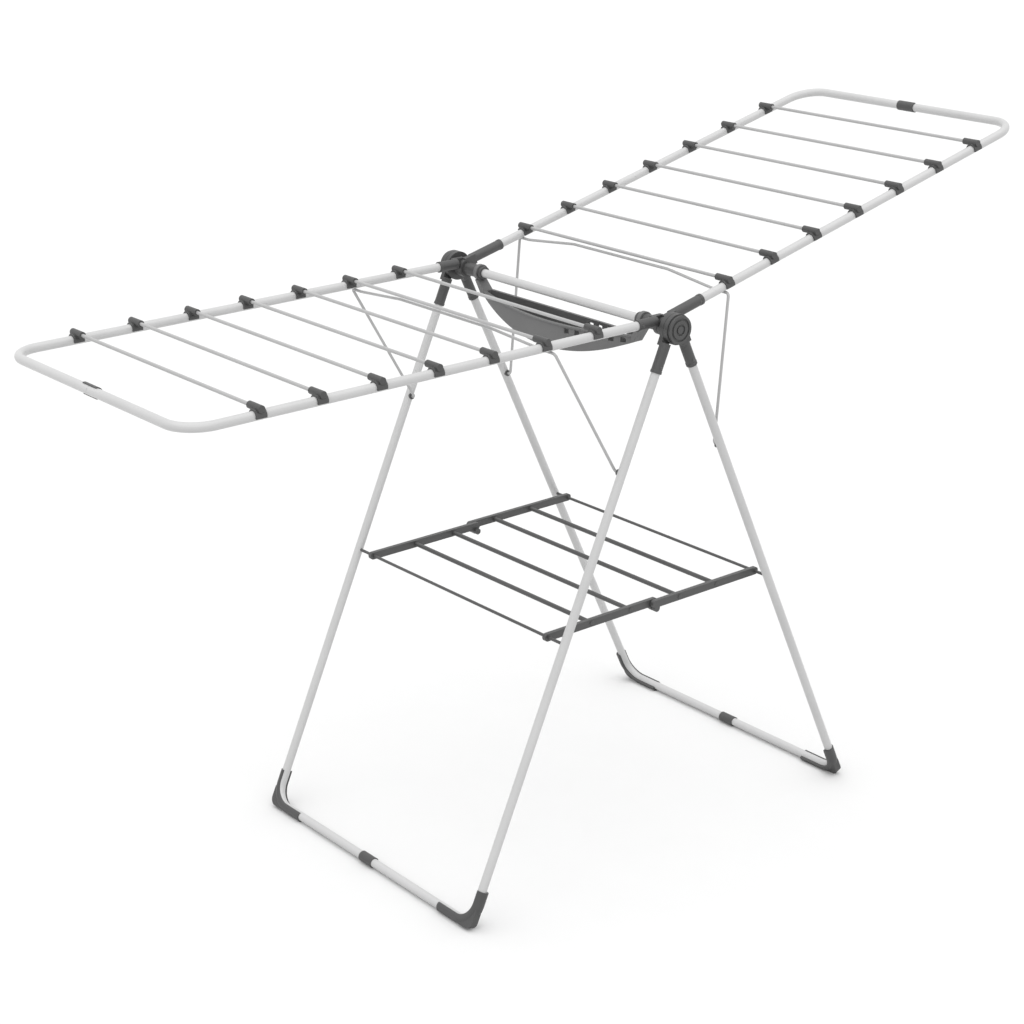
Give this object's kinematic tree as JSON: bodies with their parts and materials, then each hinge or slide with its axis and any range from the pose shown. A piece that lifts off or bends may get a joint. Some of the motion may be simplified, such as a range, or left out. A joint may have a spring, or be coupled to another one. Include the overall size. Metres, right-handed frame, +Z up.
{
  "type": "clothes drying rack",
  "caption": "Folding gull-wing clothes drying rack: two rodded wings on hub hinges, bent-tube leg frames, wire struts, a folding lower shelf and a hanging peg tray.",
  "frame": {"origin": "on the floor, in the middle of the rack's outline seen from above", "axes": "+X along the wings towards the raised wing, +Y along the hub axis, +Z up"},
  "size_m": [1.883, 0.6352, 1.2344],
  "materials": {
    "tube": "satin white-grey coat",
    "rod": "satin white-grey coat",
    "strut_wire": "satin grey coat",
    "shelf_wire": "satin dark grey coat",
    "pin": "plain",
    "tray_plastic": "fine grain",
    "dark_plastic": "fine grain"
  },
  "bodies": {
    "left_leg": {"left_leg_tube_near": "tube", "left_leg_tube_far": "tube", "left_foot_near": "dark_plastic", "left_foot_far": "dark_plastic", "left_foot_sleeve": "dark_plastic", "left_leg_socket_near": "dark_plastic", "left_leg_socket_far": "dark_plastic", "left_strut_bushes": "dark_plastic", "hub_pins": "pin", "hub_caps": "dark_plastic", "hub_spacers": "dark_plastic", "hub_sleeves": "dark_plastic", "cross_tube": "tube", "tray": "tray_plastic", "tray_hangers": "tray_plastic"},
    "left_wing": {"left_rail_near": "tube", "left_rail_far": "tube", "left_end_sleeve": "dark_plastic", "left_clips": "dark_plastic", "left_wing_socket_near": "dark_plastic", "left_wing_socket_far": "dark_plastic", "left_rod_1": "rod", "left_rod_2": "rod", "left_rod_3": "rod", "left_rod_4": "rod", "left_rod_5": "rod", "left_rod_6": "rod", "left_rod_7": "rod"},
    "left_strut": {"left_strut": "strut_wire"},
    "left_shelf": {"left_shelf_bars": "shelf_wire", "left_shelf_rods": "shelf_wire", "left_shelf_wire": "shelf_wire", "shelf_pins": "dark_plastic"},
    "right_leg": {"right_leg_tube_near": "tube", "right_leg_tube_far": "tube", "right_foot_near": "dark_plastic", "right_foot_far": "dark_plastic", "right_foot_sleeve": "dark_plastic", "right_leg_socket_near": "dark_plastic", "right_leg_socket_far": "dark_plastic", "right_strut_bushes": "dark_plastic"},
    "right_wing": {"right_rail_near": "tube", "right_rail_far": "tube", "right_end_sleeve": "dark_plastic", "right_clips": "dark_plastic", "right_wing_socket_near": "dark_plastic", "right_wing_socket_far": "dark_plastic", "right_rod_1": "rod", "right_rod_2": "rod", "right_rod_3": "rod", "right_rod_4": "rod", "right_rod_5": "rod", "right_rod_6": "rod", "right_rod_7": "rod"},
    "right_strut": {"right_strut": "strut_wire"},
    "right_shelf": {"right_shelf_bars": "shelf_wire", "right_shelf_rods": "shelf_wire", "right_shelf_wire": "shelf_wire"}
  },
  "joints": [
    {"name": "leg_fold", "type": "hinge", "parent": "left_leg", "child": "right_leg", "pos_m": [0.01447, 0, 0.992], "axis": [0, 1, 0], "range_deg": [0, 39]},
    {"name": "left_wing_fold", "type": "hinge", "parent": "left_leg", "child": "left_wing", "pos_m": [0.01447, 0, 0.992], "axis": [0, 1, 0], "range_deg": [-59, 0]},
    {"name": "right_wing_fold", "type": "hinge", "parent": "right_leg", "child": "right_wing", "pos_m": [0.01447, 0, 0.992], "axis": [0, 1, 0], "range_deg": [0, 72.6]},
    {"name": "left_strut_swing", "type": "hinge", "parent": "left_leg", "child": "left_strut", "pos_m": [-0.10273, 0, 0.7575], "axis": [0, 1, 0], "range_deg": [-118, 0]},
    {"name": "right_strut_swing", "type": "hinge", "parent": "right_leg", "child": "right_strut", "pos_m": [0.13166, 0, 0.7575], "axis": [0, 1, 0], "range_deg": [0, 141.57]},
    {"name": "left_shelf_fold", "type": "hinge", "parent": "left_leg", "child": "left_shelf", "pos_m": [-0.2313, 0, 0.47652], "axis": [0, 1, 0], "range_deg": [-70.2, 0]},
    {"name": "right_shelf_fold", "type": "hinge", "parent": "right_leg", "child": "right_shelf", "pos_m": [0.26023, 0, 0.47652], "axis": [0, 1, 0], "range_deg": [0, 70.2]}
  ],
  "couplings": [
    {"joint": "left_strut_swing", "follows": "left_wing_fold", "ratio": 2},
    {"joint": "right_strut_swing", "follows": "right_wing_fold", "ratio": 1.95},
    {"joint": "left_shelf_fold", "follows": "leg_fold", "ratio": -1.8},
    {"joint": "right_shelf_fold", "follows": "leg_fold", "ratio": 1.8}
  ]
}
